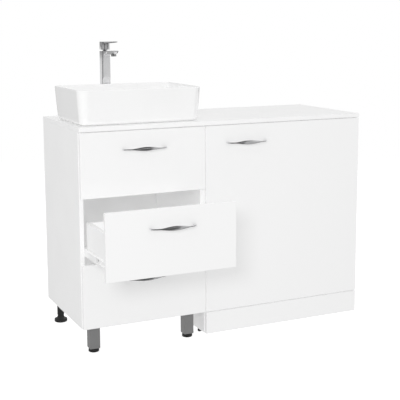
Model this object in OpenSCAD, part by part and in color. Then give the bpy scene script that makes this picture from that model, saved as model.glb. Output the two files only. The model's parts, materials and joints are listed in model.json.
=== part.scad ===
// Vessel sink on a vanity: a three-drawer unit on legs and a washing machine
// housing share one countertop, which carries a ceramic basin and a tall mixer.
//
// Inside the modules X runs right from the left end, Y runs back from the plane
// of the closed fronts, and Z runs up from the floor. placed() then moves every
// sub-part to the row frame: origin on the floor, under the middle of the whole.

/* [Cabinet] */
// Width of the drawer unit under the basin
drawer_unit_w = 500; // [480:10:600]
// Width of the washing machine housing
washer_unit_w = 700; // [660:10:760]
// Depth of the countertop, from the plane of the fronts to the wall
counter_d = 470; // [465:5:500]
// Height of the top of the countertop above the floor
counter_z = 850; // [840:5:900]
// Thickness of every board
board = 16; // [15:1:18]
// Gap around each front
front_gap = 3; // [2:0.5:4]
// Gap between a closed front and the carcass behind it
carcass_gap = 2; // [1.5:0.5:3]
// Clear height under the drawer unit
leg_h = 100; // [90:5:120]

/* [Drawers] */
// How far each drawer is pulled out as drawn: upper, middle, lower
pulled_out = [0, 258, 0]; // [0:1:258]
// Height of a drawer box
box_h = 128; // [100:4:140]
// Length of a drawer box behind its front
box_l = 270; // [250:5:280]
// Height of a box above the lower edge of its front
box_lift = 25; // [20:1:35]
// Room for a runner on each side of a box
runner_room = 13; // [13:0.5:15]
// Height of a runner
runner_h = 30; // [28:1:35]

/* [Bow handles] */
// Length of a handle
handle_l = 177; // [170:1:190]
// How far a handle stands out from its front
handle_reach = 28; // [24:1:34]
// Distance between the two screws of a handle
handle_pitch = 160; // [158:1:164]
// Height of the leaf shape in the middle of a handle
leaf_h = 17; // [10:1:20]
// Height of a handle at its feet
leaf_end_h = 7; // [6:0.5:9]
// Distance from the upper edge of a front down to its handle
handle_drop = 68; // [60:1:90]
// Distance from the left end to the middle of the door's handle
door_handle_x = 675; // [600:5:900]

/* [Basin] */
// Width of the basin at its rim
basin_w = 490; // [440:5:496]
// Depth of the basin at its rim, front to back
basin_d = 335; // [300:5:345]
// Height of the basin
basin_h = 130; // [110:5:150]
// Distance from the left end of the countertop to the rim
basin_x = 13; // [5:1:30]
// Distance from the front of the countertop to the rim
basin_y = 30; // [20:1:40]
// How far each outer wall leans in from rim to base
basin_taper = 9; // [4:1:16]
// Radius of the vertical corners at the rim
basin_corner_r = 36; // [24:1:60]
// Thickness of the rim
rim_t = 9; // [7:0.5:14]
// Thickness of the basin's floor
basin_floor_t = 16; // [14:1:22]

/* [Mixer] */
// Distance from the left end to the mixer's column
mixer_x = 250; // [240:1:260]
// Distance from the front of the countertop to the column
mixer_y = 420; // [410:1:425]
// Width of the column
column_w = 36; // [32:1:38]
// Depth of the column
column_d = 34; // [30:1:36]
// Height of the column above the countertop
column_h = 259; // [200:0.5:300]
// How far the spout's tip lies in front of the column's axis
spout_reach = 140; // [120:1:160]
// Width of the spout
spout_w = 28; // [24:1:30]
// Height of the handle block on top of the column
block_h = 32; // [30:1:40]
// How far the lever's tip lies in front of the column's axis
lever_reach = 121; // [90:1:130]
// Width of the lever's blade
lever_w = 25; // [18:1:28]

/* [Hidden] */

eps = 0.01;
$fn = 64;

// Overall places
total_w = drawer_unit_w + washer_unit_w;
under_z = counter_z - board;
carcass_y = board + carcass_gap;
back_t = 8;
wall_gap = 2;
carcass_back_y = counter_d - wall_gap;
back_y = carcass_back_y - back_t;
rail_h = 80;
rail_d = 60;
rail_setback = 2;
mid_y = (counter_d - max(pulled_out) - handle_reach) / 2;

// Fronts
fronts_z1 = under_z - front_gap;
fronts_z0 = leg_h + 1;
front_h = (fronts_z1 - fronts_z0 - 2 * front_gap) / 3;
side_gap = front_gap - 1;
door_z0 = fronts_z0;
plinth_z1 = door_z0 - front_gap;
glide_h = 12;
glide_r = 8;
glide_ys = [78, 400];
bracket_z = 45;
bracket_h = 24;
bracket_w = 26;
bracket_l = 30;
bracket_t = 2;

// Drawer boxes
box_x0 = board + runner_room;
box_x1 = drawer_unit_w - box_x0;
base_t = 4;
base_lift = 10;

// Runners: three nested steel channels in the gap beside a box
runner_t = 1.5;
runner_l = box_l - 8;
runner_lift = 2;
nest_gap = 0.7;
runner_start = 4;

// Handles
bow_t = 4;
bow_foot = 12.5;
bow_power = 2.8;
bow_step = 6;
screw_r = 1.8;
screw_bite = 9;
screw_head_r = 4;
screw_head_h = 2.5;

// Door hinge
hinge_inset = 5;
cup_r = 17.5;
cup_edge = 22.5;
cup_depth = 12;
cup_wall = 2;
cup_floor = 1;
flange_t = 1.4;
hinge_zs = [door_z0 + 90, fronts_z1 - 90];
arm_y1 = 88;
arm_screw_r = 2.5;

// Legs
leg_w = 40;
leg_wall = 2;
front_leg_xs = [53, drawer_unit_w - 62];
front_leg_y = 45;
rear_leg_xs = [44, drawer_unit_w - 44];
rear_pad_r = 26;
rear_leg_y = carcass_back_y - rear_pad_r;
front_foot_h = 13.5;
foot_gap = 0.5;
foot_screw_r = 5;
foot_screw_fit = 0.05;
leg_plate_t = 4;
front_plate_w = 58;
rear_plate_w = 52;
front_pad_r = 20;
leg_end_z = 24;
rear_leg_r = 14;
rear_leg_z = 27.5;
rear_cone_h = 16;
leg_screw_in = 4.5;
leg_screw_r = 3.5;
leg_screw_h = 2;

// Basin
basin_cx = basin_x + basin_w / 2;
basin_cy = basin_y + basin_d / 2;
seal_t = 1;
basin_z = counter_z + seal_t;
rim_z = counter_z + basin_h;
floor_z = basin_z + basin_floor_t;
layer_t = 0.5;
corner_fn = 32;

// Waste and trap
waste_hole_r = 21;
waste_r = 20;
flange_r = 32;
flange_h = 2.5;
flange_neck = 4;
plug_r = 28;
plug_lift = 3;
plug_t = 4;
pin_r = 5;
pin_l = 22;
guide_r = 8;
guide_h = 6;
spoke_t = 2.4;
back_nut_r = 28;
back_nut_h = 12;
pipe_r = 16;
pipe_t = 2;
pipe_fit = 0.3;
bend_r = 24;
run_z = fronts_z1 - front_h + box_lift + box_h + pipe_r + 4.3;
waste_end_z = run_z + bend_r + 5;
trap_y = 360;
trap_r = 30;
trap_wall = 3;
trap_z1 = run_z - 51;
trap_z0 = trap_z1 - 112;
outlet_z = trap_z1 - 28;
outlet_y1 = 430;
socket_r = 21;
socket_h = 18;
nut_r = 27;
nut_h = 20;
nut_lip = 4;
cup_h = 12;

// Mixer
ring_h = 4;
column_z = counter_z + ring_h;
column_top = counter_z + column_h;
cartridge_r = 13;
cartridge_l = 34;
pivot_z = column_top + 9.5;
block_z = column_top + 5.5;
ball_r = 11;
inlet_r = 5;
inlet_l = 15;
inlet_pitch = 15;
inlet_y = -6;
stud_r = 4;
stud_y = 9;
stud_hole_l = 12;
stud_drop = 40;
stud_nut_h = 8;
washer_t = 3;
washer_r = 22;
tap_hole_r = 17.5;
aerator_r = 10.5;
aerator_x = spout_reach - 35;
aerator_z1 = column_top - 10;
aerator_h = 9;

// ---------- helpers ----------

// A box from its lowest corner to its highest corner
module span(low, high) translate(low) cube(high - low);

// Moves a sub-part from the cabinet's own corner to the row frame
module placed() translate([-total_w / 2, -mid_y, 0]) children();

// Copies a sub-part to the mirrored side of a drawer unit
module both_sides() {
    children();
    translate([drawer_unit_w, 0, 0]) mirror([1, 0, 0]) children();
}

module rounded_rect(w, d, r) {
    square([w - 2 * r, d], center = true);
    square([w, d - 2 * r], center = true);
    for (sx = [-1, 1], sy = [-1, 1])
        translate([sx * (w / 2 - r), sy * (d / 2 - r)]) circle(r);
}

module rounded_block(w, d, h, r) linear_extrude(h) rounded_rect(w, d, r);

// A round tube along Z
module tube(r_out, r_in, h) difference() {
    cylinder(r = r_out, h = h);
    translate([0, 0, -eps]) cylinder(r = r_in, h = h + 2 * eps);
}

// A ring with a narrower lip over the last part of its height
module lipped_nut(r_out, r_in, lip_r, h, lip_h) difference() {
    cylinder(r = r_out, h = h, $fn = 12);
    translate([0, 0, -eps]) cylinder(r = r_in, h = h - lip_h + eps);
    cylinder(r = lip_r, h = h + eps);
}

// The top of front number i, counted from the upper drawer
function front_top(i) = fronts_z1 - i * (front_h + front_gap);
function box_z(i) = front_top(i) - front_h + box_lift;

module at_drawer(i) translate([0, -pulled_out[i], 0]) children();

// ---------- cabinet ----------

module countertop() color("white") difference() {
    span([0, 0, under_z], [total_w, counter_d, counter_z]);
    translate([basin_cx, basin_cy, under_z - 1]) cylinder(r = waste_hole_r, h = board + 2);
    translate([mixer_x, mixer_y, under_z - 1]) cylinder(r = tap_hole_r, h = board + 2);
}

// An upright board whose left face is at x
module upright(x, z0) color("white")
    span([x, carcass_y, z0], [x + board, carcass_back_y, under_z]);

module drawer_unit_left_side() upright(0, leg_h);

module drawer_unit_right_side() upright(drawer_unit_w - board, leg_h);

module drawer_unit_bottom() color("white")
    span([board, carcass_y, leg_h], [drawer_unit_w - board, back_y, leg_h + board]);

// The back board, open around the water pipes
module drawer_unit_back() color("gainsboro") difference() {
    span([board, back_y, leg_h], [drawer_unit_w - board, carcass_back_y, under_z]);
    span([basin_cx - 100, back_y - 1, outlet_z - 45], [basin_cx + 100, counter_d, outlet_z + 70]);
}

// A flat rail behind the fronts and an upright rail at the back
module top_rails(x0, x1, rear_y) color("white") {
    span([x0, carcass_y + rail_setback, under_z - board],
         [x1, carcass_y + rail_setback + rail_d, under_z]);
    span([x0, rear_y - board, under_z - rail_h], [x1, rear_y, under_z]);
}

module drawer_unit_rails() top_rails(board, drawer_unit_w - board, back_y);

module washer_unit_left_side() upright(drawer_unit_w, glide_h);

module washer_unit_right_side() upright(total_w - board, glide_h);

module washer_unit_rails() {
    top_rails(drawer_unit_w + board, total_w - board, carcass_back_y);
    color("white") span([drawer_unit_w + board, carcass_back_y - board, 2 * board],
                        [total_w - board, carcass_back_y, 2 * board + rail_h]);
}

module plinth_panel() color("white")
    span([drawer_unit_w + side_gap, 0, glide_h], [total_w - side_gap, board, plinth_z1]);

// Two angles that hold the plinth panel to the housing's sides
module plinth_brackets() color("silver")
    for (x = [drawer_unit_w + board, total_w - board]) {
        inward = x < total_w / 2 ? 1 : -1;
        translate([x, board, bracket_z]) scale_x(inward) {
            cube([bracket_w, bracket_t, bracket_h]);
            cube([bracket_t, bracket_l, bracket_h]);
        }
    }

// Mirrors across X when the sign is negative
module scale_x(s) if (s < 0) mirror([1, 0, 0]) children(); else children();

// ---------- legs ----------

// Square steel tubes with a top plate; the closed lower end holds the foot's screw
module front_legs() color("dimgray") for (x = front_leg_xs) {
    inside = leg_w / 2 - leg_wall;
    translate([x, front_leg_y, 0]) difference() {
        union() {
            span([-leg_w / 2, -leg_w / 2, front_foot_h + foot_gap], [leg_w / 2, leg_w / 2, leg_h]);
            span([-front_plate_w / 2, -leg_w / 2, leg_h - leg_plate_t],
                 [front_plate_w / 2, leg_w / 2, leg_h]);
        }
        span([-inside, -inside, leg_end_z], [inside, inside, leg_h - leg_plate_t]);
        cylinder(r = foot_screw_r + foot_screw_fit, h = leg_end_z + 1);
    }
}

// Round moulded legs with a socket for the foot's screw
module rear_legs() color("#202020") for (x = rear_leg_xs)
    translate([x, rear_leg_y, 0]) difference() {
        union() {
            span([-rear_plate_w / 2, -rear_plate_w / 2, leg_h - leg_plate_t],
                 [rear_plate_w / 2, rear_plate_w / 2, leg_h]);
            translate([0, 0, rear_leg_z]) cylinder(r = rear_leg_r, h = leg_h - rear_leg_z);
            translate([0, 0, leg_h - rear_cone_h])
                cylinder(r1 = rear_leg_r, r2 = rear_leg_r + 10, h = rear_cone_h - leg_plate_t);
        }
        translate([0, 0, rear_leg_z - 1]) cylinder(r = foot_screw_r + foot_screw_fit, h = 45);
    }

module leg_screw(x, y) translate([x, y, leg_h - leg_plate_t - leg_screw_h])
    cylinder(r = leg_screw_r, h = leg_screw_h);

module leg_screws() color("silver") {
    front_in = front_plate_w / 2 - leg_screw_in;
    rear_in = rear_plate_w / 2 - leg_screw_in;
    for (x = front_leg_xs, sx = [-1, 1]) leg_screw(x + sx * front_in, front_leg_y);
    for (x = rear_leg_xs, sx = [-1, 1], sy = [-1, 1])
        leg_screw(x + sx * rear_in, rear_leg_y + sy * rear_in);
}

// Nail-on glides under the sides of the washing machine housing
module glides() color("#202020")
    for (x = [drawer_unit_w + board / 2, total_w - board / 2], y = glide_ys)
        translate([x, y, 0]) {
            cylinder(r = glide_r, h = glide_h - 3);
            translate([0, 0, glide_h - 3]) cylinder(r1 = glide_r, r2 = glide_r - 2, h = 3);
        }

// A foot: a round pad with its levelling screw
module foot(x, y, pad_r, pad_h, cone_r, cone_h, screw_top) color("#202020")
    translate([x, y, 0]) {
        cylinder(r1 = pad_r - 1.5, r2 = pad_r, h = 2);
        translate([0, 0, 2]) cylinder(r = pad_r, h = pad_h - 2);
        translate([0, 0, pad_h]) cylinder(r1 = pad_r, r2 = cone_r, h = cone_h);
        cylinder(r = foot_screw_r, h = screw_top);
    }

module front_foot(i) foot(front_leg_xs[i], front_leg_y, front_pad_r, 10, 16, 3.5, 34);

module rear_foot(i) foot(rear_leg_xs[i], rear_leg_y, rear_pad_r, 12, 13, 15, 68);

module front_left_foot() front_foot(0);

module front_right_foot() front_foot(1);

module rear_left_foot() rear_foot(0);

module rear_right_foot() rear_foot(1);

// ---------- runners ----------

// A channel lying along Y: its web at x0, its flanges reaching to x1
module channel(x0, x1, z0, z1, y0, y1) {
    web = x0 < x1 ? x0 + runner_t : x0 - runner_t;
    span([min(x0, web), y0, z0], [max(x0, web), y1, z1]);
    span([min(x0, x1), y0, z0], [max(x0, x1), y1, z0 + runner_t]);
    span([min(x0, x1), y0, z1 - runner_t], [max(x0, x1), y1, z1]);
}

// The outer channels, screwed to the sides of the drawer unit
module cabinet_runners() color("whitesmoke") for (i = [0 : 2]) {
    z = box_z(i) + runner_lift;
    both_sides() channel(board, board + runner_room - 2, z, z + runner_h,
                         carcass_y, carcass_y + runner_l);
}

// The middle channels travel half as far as their drawer
module middle_runners(i) color("gainsboro") translate([0, -pulled_out[i] / 2, 0]) {
    z = box_z(i) + runner_lift;
    inset = runner_t + nest_gap;
    both_sides() channel(board + runner_t + 0.5, board + runner_room - 2, z + inset,
                         z + runner_h - inset, carcass_y + runner_start, carcass_y + runner_l);
}

// The inner channels, screwed to the box
module drawer_runners(i) color("whitesmoke") at_drawer(i) {
    z = box_z(i) + runner_lift;
    inset = 2 * (runner_t + nest_gap) + 0.6;
    both_sides() channel(box_x0, board + runner_room / 2 - 1, z + inset,
                         z + runner_h - inset, carcass_y + runner_start, carcass_y + runner_l);
}

// ---------- bow handles ----------

// A superellipse from one foot to the other, bowed towards -Y
function bow(half, reach) = [for (a = [0 : bow_step : 180])
    [half * sign(cos(a)) * pow(abs(cos(a)), 2 / bow_power), -reach * pow(sin(a), 2 / bow_power)]];
function reversed(list) = [for (i = [len(list) - 1 : -1 : 0]) list[i]];
function leaf_half(x) = (leaf_end_h + (leaf_h - leaf_end_h) * pow(cos(180 * x / handle_l), 2)) / 2;

// The bow and its two screws, on a front whose outer face is at Y = 0
module bow_handle(x, z) color("silver") translate([x, 0, z]) {
    half = handle_l / 2;
    xs = [for (k = [-10 : 10]) half * k / 10];
    difference() {
        intersection() {
            translate([0, 0, -leaf_h]) linear_extrude(2 * leaf_h)
                polygon(concat(bow(half, handle_reach),
                               reversed(bow(half - bow_foot, handle_reach - bow_t))));
            rotate([90, 0, 0]) linear_extrude(handle_reach + 1)
                polygon(concat([for (v = xs) [v, leaf_half(v)]],
                               reversed([for (v = xs) [v, -leaf_half(v)]])));
        }
        for (s = [-1, 1]) translate([s * handle_pitch / 2, eps, 0])
            rotate([90, 0, 0]) cylinder(r = screw_r + 0.05, h = screw_bite + 0.5);
    }
    for (s = [-1, 1]) translate([s * handle_pitch / 2, board, 0]) {
        rotate([90, 0, 0]) cylinder(r = screw_r, h = board + screw_bite);
        rotate([-90, 0, 0]) cylinder(r = screw_head_r, h = screw_head_h);
    }
}

module handle_holes(x, z) for (s = [-1, 1])
    translate([x + s * handle_pitch / 2, -1, z])
        rotate([-90, 0, 0]) cylinder(r = screw_r + 0.4, h = board + 2);

// ---------- drawers ----------

module drawer_front(i) color("white") at_drawer(i) difference() {
    span([side_gap, 0, front_top(i) - front_h], [drawer_unit_w - side_gap, board, front_top(i)]);
    handle_holes(drawer_unit_w / 2, front_top(i) - handle_drop);
}

module drawer_sides(i) color("white") at_drawer(i)
    both_sides() span([box_x0, board, box_z(i)], [box_x0 + board, board + box_l, box_z(i) + box_h]);

module drawer_back(i) color("white") at_drawer(i)
    span([box_x0 + board, board + box_l - board, box_z(i)],
         [box_x1 - board, board + box_l, box_z(i) + box_h]);

module drawer_base(i) color("white") at_drawer(i)
    span([box_x0 + board, board, box_z(i) + base_lift],
         [box_x1 - board, box_l, box_z(i) + base_lift + base_t]);

module drawer_handle(i) at_drawer(i) bow_handle(drawer_unit_w / 2, front_top(i) - handle_drop);

module upper_drawer_front() drawer_front(0);

module upper_drawer_sides() drawer_sides(0);

module upper_drawer_back() drawer_back(0);

module upper_drawer_base() drawer_base(0);

module upper_drawer_handle() drawer_handle(0);

module upper_drawer_runners() drawer_runners(0);

module upper_middle_runners() middle_runners(0);

module middle_drawer_front() drawer_front(1);

module middle_drawer_sides() drawer_sides(1);

module middle_drawer_back() drawer_back(1);

module middle_drawer_base() drawer_base(1);

module middle_drawer_handle() drawer_handle(1);

module middle_drawer_runners() drawer_runners(1);

module middle_middle_runners() middle_runners(1);

module lower_drawer_front() drawer_front(2);

module lower_drawer_sides() drawer_sides(2);

module lower_drawer_back() drawer_back(2);

module lower_drawer_base() drawer_base(2);

module lower_drawer_handle() drawer_handle(2);

module lower_drawer_runners() drawer_runners(2);

module lower_middle_runners() middle_runners(2);

// ---------- door ----------

module door() color("white") difference() {
    span([drawer_unit_w + side_gap, 0, door_z0], [total_w - side_gap, board, fronts_z1]);
    handle_holes(door_handle_x, fronts_z1 - handle_drop);
    for (z = hinge_zs) translate([total_w - side_gap - cup_edge, board - cup_depth, z])
        rotate([-90, 0, 0]) cylinder(r = cup_r, h = cup_depth + 1);
}

module door_handle() bow_handle(door_handle_x, fronts_z1 - handle_drop);

// Pressed steel cups let into the door, each with a flange for two screws
module hinge_cups() color("silver") for (z = hinge_zs)
    translate([total_w - side_gap - cup_edge, board, z]) rotate([90, 0, 0]) difference() {
        union() {
            cylinder(r = cup_r - 0.1, h = cup_depth - 0.2);
            span([-12, -30, -flange_t], [12, 30, 0]);
        }
        translate([0, 0, -flange_t - 1])
            cylinder(r = cup_r - cup_wall, h = cup_depth + flange_t + 0.8 - cup_floor);
    }

// Hinge arms on their mounting plates, screwed to the housing's right side
module hinge_arms() color("silver") for (z = hinge_zs)
    translate([total_w - board, 0, z]) difference() {
        union() {
            span([-5, 37, -22], [0, 73, 22]);
            span([-17, carcass_y + 4, -8], [-5, arm_y1, 8]);
        }
        for (y = [48, 76]) translate([-18, y, 0]) rotate([0, 90, 0])
            cylinder(r = arm_screw_r, h = 10);
    }

// ---------- basin and waste ----------

// One thin rounded layer of the basin, inset from the rim's outline
module basin_layer(inset, z, r) translate([basin_cx, basin_cy, z])
    for (sx = [-1, 1], sy = [-1, 1])
        translate([sx * (basin_w / 2 - inset - r), sy * (basin_d / 2 - inset - r), 0])
            cylinder(r = r, h = layer_t, $fn = corner_fn);

module basin() color("white") difference() {
    hull() {
        basin_layer(basin_taper + 9, basin_z, basin_corner_r - 12);
        basin_layer(basin_taper + 3, basin_z + 3, basin_corner_r - 8);
        basin_layer(basin_taper - 0.5, basin_z + 10, basin_corner_r - 6);
        basin_layer(0, rim_z - 3, basin_corner_r);
        basin_layer(2, rim_z - layer_t, basin_corner_r - 2);
    }
    hull() {
        basin_layer(rim_t, rim_z + layer_t, basin_corner_r - rim_t);
        basin_layer(rim_t + 6, basin_z + basin_h / 2, basin_corner_r - rim_t);
        basin_layer(rim_t + 14, floor_z + 14, basin_corner_r - rim_t);
        basin_layer(rim_t + 24, floor_z + 4, basin_corner_r - rim_t);
        basin_layer(rim_t + 42, floor_z, basin_corner_r - rim_t);
    }
    translate([basin_cx, basin_cy, counter_z]) cylinder(r = waste_hole_r, h = basin_floor_t + 2);
}

// A bead of sealant under the edge of the basin
module basin_seal() color("whitesmoke") translate([basin_cx, basin_cy, counter_z]) {
    inset = 2 * (basin_taper + 12);
    difference() {
        rounded_block(basin_w - inset, basin_d - inset, seal_t, basin_corner_r - 12);
        translate([0, 0, -eps])
            rounded_block(basin_w - inset - 12, basin_d - inset - 12, seal_t + 1,
                          basin_corner_r - 18);
    }
}

module at_waste(z) translate([basin_cx, basin_cy, z]) children();

module waste_flange() color("silver") at_waste(floor_z) difference() {
    union() {
        cylinder(r1 = flange_r, r2 = flange_r - 2, h = flange_h);
        translate([0, 0, -flange_neck]) cylinder(r = waste_r + 0.5, h = flange_neck + eps);
    }
    translate([0, 0, -flange_neck - 1]) cylinder(r = waste_r - 3, h = flange_neck + flange_h + 2);
}

// The pop-up plug: a domed cap on a guide pin
module waste_plug() color("silver") at_waste(floor_z) {
    translate([0, 0, plug_lift]) cylinder(r = plug_r, h = plug_t / 2);
    translate([0, 0, plug_lift + plug_t / 2])
        cylinder(r1 = plug_r, r2 = plug_r - 4, h = plug_t / 2);
    translate([0, 0, -pin_l]) cylinder(r = pin_r, h = pin_l + plug_lift + eps);
}

// The threaded tail of the waste, with the spider that guides the plug and its back nut
module waste_body() color("silver") at_waste(waste_end_z) {
    tail_l = floor_z - flange_neck - 0.2 - waste_end_z;
    tube(waste_r, pipe_r + pipe_fit, tail_l);
    translate([0, 0, tail_l - 20]) {
        tube(guide_r, pin_r + 0.2, guide_h);
        for (a = [0 : 90 : 270]) rotate(a)
            span([guide_r - 0.4, -spoke_t / 2, 0], [pipe_r + 0.6, spoke_t / 2, guide_h]);
    }
    translate([0, 0, under_z - waste_end_z - back_nut_h])
        tube(back_nut_r, waste_r - eps, back_nut_h);
}

// A pipe bend in the plane Z = 0, turning from +X to +Y around the origin
module bend() rotate_extrude(angle = 90) translate([bend_r, 0]) difference() {
    circle(pipe_r);
    circle(pipe_r - pipe_t);
}

// The pipe from the waste back over the upper drawer and down into the trap
module trap_pipes() color("whitesmoke") {
    at_waste(run_z + bend_r) tube(pipe_r, pipe_r - pipe_t, 24);
    translate([basin_cx, basin_cy + bend_r, run_z + bend_r]) rotate([0, 90, 0])
        rotate(-90) bend();
    translate([basin_cx, basin_cy + bend_r, run_z]) rotate([-90, 0, 0])
        tube(pipe_r, pipe_r - pipe_t, trap_y - 2 * bend_r - basin_cy);
    translate([basin_cx, trap_y - bend_r, run_z - bend_r]) rotate([0, -90, 0]) bend();
    translate([basin_cx, trap_y, trap_z0 + 40])
        tube(pipe_r, pipe_r - pipe_t, run_z - bend_r - trap_z0 - 40);
}

// The bottle trap, with the socket that takes the pipe to the wall
module trap_body() color("whitesmoke") translate([basin_cx, trap_y, 0]) difference() {
    union() {
        translate([0, 0, trap_z0]) cylinder(r = trap_r, h = trap_z1 - trap_z0);
        translate([0, 0, trap_z1 - eps]) cylinder(r = socket_r, h = socket_h);
        translate([0, 0, outlet_z]) rotate([-90, 0, 0])
            cylinder(r = socket_r, h = outlet_y1 - trap_y);
    }
    translate([0, 0, trap_z0 + trap_wall])
        cylinder(r = trap_r - trap_wall, h = trap_z1 - trap_z0 - 3 * trap_wall);
    translate([0, 0, trap_z1 - 20]) cylinder(r = pipe_r + pipe_fit, h = socket_h + 21);
    translate([0, 0, outlet_z]) rotate([-90, 0, 0])
        cylinder(r = pipe_r + pipe_fit, h = outlet_y1 - trap_y + 1);
}

// The union nuts of the trap and its removable cup
module trap_nuts() color("whitesmoke") {
    at_waste(waste_end_z + nut_h - 6) mirror([0, 0, 1])
        lipped_nut(nut_r, waste_r + pipe_fit, pipe_r + pipe_fit, nut_h - 2, nut_lip - 1);
    translate([basin_cx, trap_y, trap_z1 + nut_lip])
        lipped_nut(nut_r, socket_r + pipe_fit, pipe_r + pipe_fit, nut_h, nut_lip);
    translate([basin_cx, outlet_y1, outlet_z]) rotate([90, 0, 0]) difference() {
        cylinder(r = nut_r, h = nut_h, $fn = 12);
        translate([0, 0, -1]) cylinder(r = socket_r + pipe_fit, h = nut_h + 2);
    }
    translate([basin_cx, trap_y, trap_z0 - cup_h]) cylinder(r = trap_r + 2, h = cup_h);
}

// ---------- mixer ----------

module at_mixer(z) translate([mixer_x, mixer_y, z]) children();

// Side view of the spout: X is the distance in front of the column's axis, Y the height
module spout_profile() {
    tip_h = 5;
    lift = 4.5;
    root_h = 18;
    belly_h = 13;
    polygon(concat(
        [[column_d / 2 - 6, 0], [spout_reach, lift]],
        [for (a = [0 : 15 : 90]) [spout_reach - 18 * sin(a) * 0.6, lift - tip_h - 9 * (1 - cos(a))]],
        [[spout_reach - 45, -belly_h + 1]],
        [for (a = [0 : 15 : 90]) [column_d / 2 + 30 - 30 * sin(a), -root_h + 5 * cos(a)]],
        [[column_d / 2 - 6, -root_h]]));
}

// Column and spout in one casting, bored for the cartridge, the inlets and the stud
module mixer_body() color("silver") at_mixer(0) difference() {
    union() {
        translate([0, 0, column_z]) rounded_block(column_w, column_d, column_top - column_z, 6);
        translate([-spout_w / 2, 0, column_top]) rotate([90, 0, 90])
            linear_extrude(spout_w) mirror([1, 0, 0]) spout_profile();
    }
    translate([0, 0, column_top - cartridge_l]) cylinder(r = cartridge_r, h = cartridge_l + 20);
    for (s = [-1, 1]) translate([s * inlet_pitch / 2, inlet_y, column_z - 1])
        cylinder(r = inlet_r, h = inlet_l + 1);
    translate([0, stud_y, column_z - 1]) cylinder(r = stud_r, h = stud_hole_l + 1);
    translate([0, -aerator_x, aerator_z1 - aerator_h]) cylinder(r = aerator_r + 0.1, h = aerator_h);
}

module mixer_base_ring() color("silver") at_mixer(counter_z) difference() {
    cylinder(r1 = 26, r2 = 24.5, h = ring_h);
    translate([0, 0, -eps]) cylinder(r = 15.5, h = ring_h + 1);
}

module mixer_aerator() color("silver") at_mixer(aerator_z1 - aerator_h)
    translate([0, -aerator_x, 0]) difference() {
        cylinder(r = aerator_r, h = aerator_h);
        translate([0, 0, -eps]) cylinder(r = aerator_r - 2, h = 2);
    }

// The ceramic cartridge, below its rotating ball
module mixer_cartridge() color("white") at_mixer(column_top - cartridge_l)
    cylinder(r = cartridge_r - 0.1, h = cartridge_l - 3);

// The ball that the lever tilts on; it turns in the column to mix hot and cold
module mixer_ball() color("silver") at_mixer(0) {
    translate([0, 0, column_top - 2.7]) cylinder(r = cartridge_r - 1, h = 3.5);
    intersection() {
        translate([0, 0, pivot_z]) sphere(r = ball_r);
        translate([0, 0, column_top]) cylinder(r = ball_r + 1, h = 3 * ball_r);
    }
}

// Handle block and lever blade in one casting, with a spherical seat for the ball
module mixer_lever() color("silver") at_mixer(0) difference() {
    union() {
        translate([0, 0, block_z]) rounded_block(column_w + 2, column_d + 2, block_h, 6);
        translate([-lever_w / 2, 0, block_z + block_h]) rotate([90, 0, 90])
            linear_extrude(lever_w) mirror([1, 0, 0])
                polygon([[0, -7], [column_d / 2, -7], [lever_reach, -1], [lever_reach, 2.5],
                         [column_d / 2, 0], [0, 0]]);
    }
    translate([0, 0, pivot_z]) sphere(r = ball_r + 0.4);
    translate([0, 0, block_z - 1]) cylinder(r = ball_r + 0.4, h = pivot_z - block_z + 1);
    translate([-column_w, 0, block_z]) rotate([90, 0, 90]) linear_extrude(2 * column_w)
        polygon([[5, -1], [5, 0], [column_d / 2 + 2, 6], [column_d / 2 + 2, -1]]);
}

// Stud, horseshoe washer and nut that pull the mixer down onto the countertop
module mixer_fixing_kit() color("silver") at_mixer(0) {
    difference() {
        translate([0, 0, under_z - washer_t]) cylinder(r = washer_r, h = washer_t);
        span([-14, -washer_r - 1, under_z - washer_t - 1], [14, 3, under_z + 1]);
        translate([0, stud_y, under_z - washer_t - 1]) cylinder(r = stud_r + 0.3, h = washer_t + 2);
    }
    translate([0, stud_y, under_z - stud_drop])
        cylinder(r = stud_r - 0.1, h = column_z + stud_hole_l - 1 - under_z + stud_drop);
    translate([0, stud_y, under_z - washer_t - stud_nut_h]) difference() {
        cylinder(r = 7.5, h = stud_nut_h, $fn = 6);
        translate([0, 0, -1]) cylinder(r = stud_r, h = stud_nut_h + 2);
    }
}

// ---------- sub-parts ----------

placed() countertop();
placed() drawer_unit_left_side();
placed() drawer_unit_right_side();
placed() drawer_unit_bottom();
placed() drawer_unit_back();
placed() drawer_unit_rails();
placed() washer_unit_left_side();
placed() washer_unit_right_side();
placed() washer_unit_rails();
placed() plinth_panel();
placed() plinth_brackets();
placed() front_legs();
placed() rear_legs();
placed() leg_screws();
placed() glides();
placed() front_left_foot();
placed() front_right_foot();
placed() rear_left_foot();
placed() rear_right_foot();
placed() cabinet_runners();
placed() upper_drawer_front();
placed() upper_drawer_sides();
placed() upper_drawer_back();
placed() upper_drawer_base();
placed() upper_drawer_handle();
placed() upper_drawer_runners();
placed() upper_middle_runners();
placed() middle_drawer_front();
placed() middle_drawer_sides();
placed() middle_drawer_back();
placed() middle_drawer_base();
placed() middle_drawer_handle();
placed() middle_drawer_runners();
placed() middle_middle_runners();
placed() lower_drawer_front();
placed() lower_drawer_sides();
placed() lower_drawer_back();
placed() lower_drawer_base();
placed() lower_drawer_handle();
placed() lower_drawer_runners();
placed() lower_middle_runners();
placed() door();
placed() door_handle();
placed() hinge_cups();
placed() hinge_arms();
placed() basin();
placed() basin_seal();
placed() waste_flange();
placed() waste_plug();
placed() waste_body();
placed() trap_pipes();
placed() trap_body();
placed() trap_nuts();
placed() mixer_body();
placed() mixer_base_ring();
placed() mixer_aerator();
placed() mixer_cartridge();
placed() mixer_ball();
placed() mixer_lever();
placed() mixer_fixing_kit();
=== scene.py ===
# Looks of the vessel sink on a vanity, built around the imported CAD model.
# Every piece is placed from the CAD nodes' own boxes, in metres, in the row frame.
import json
import math

import bmesh
import bpy
from mathutils import Matrix, Vector


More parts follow.
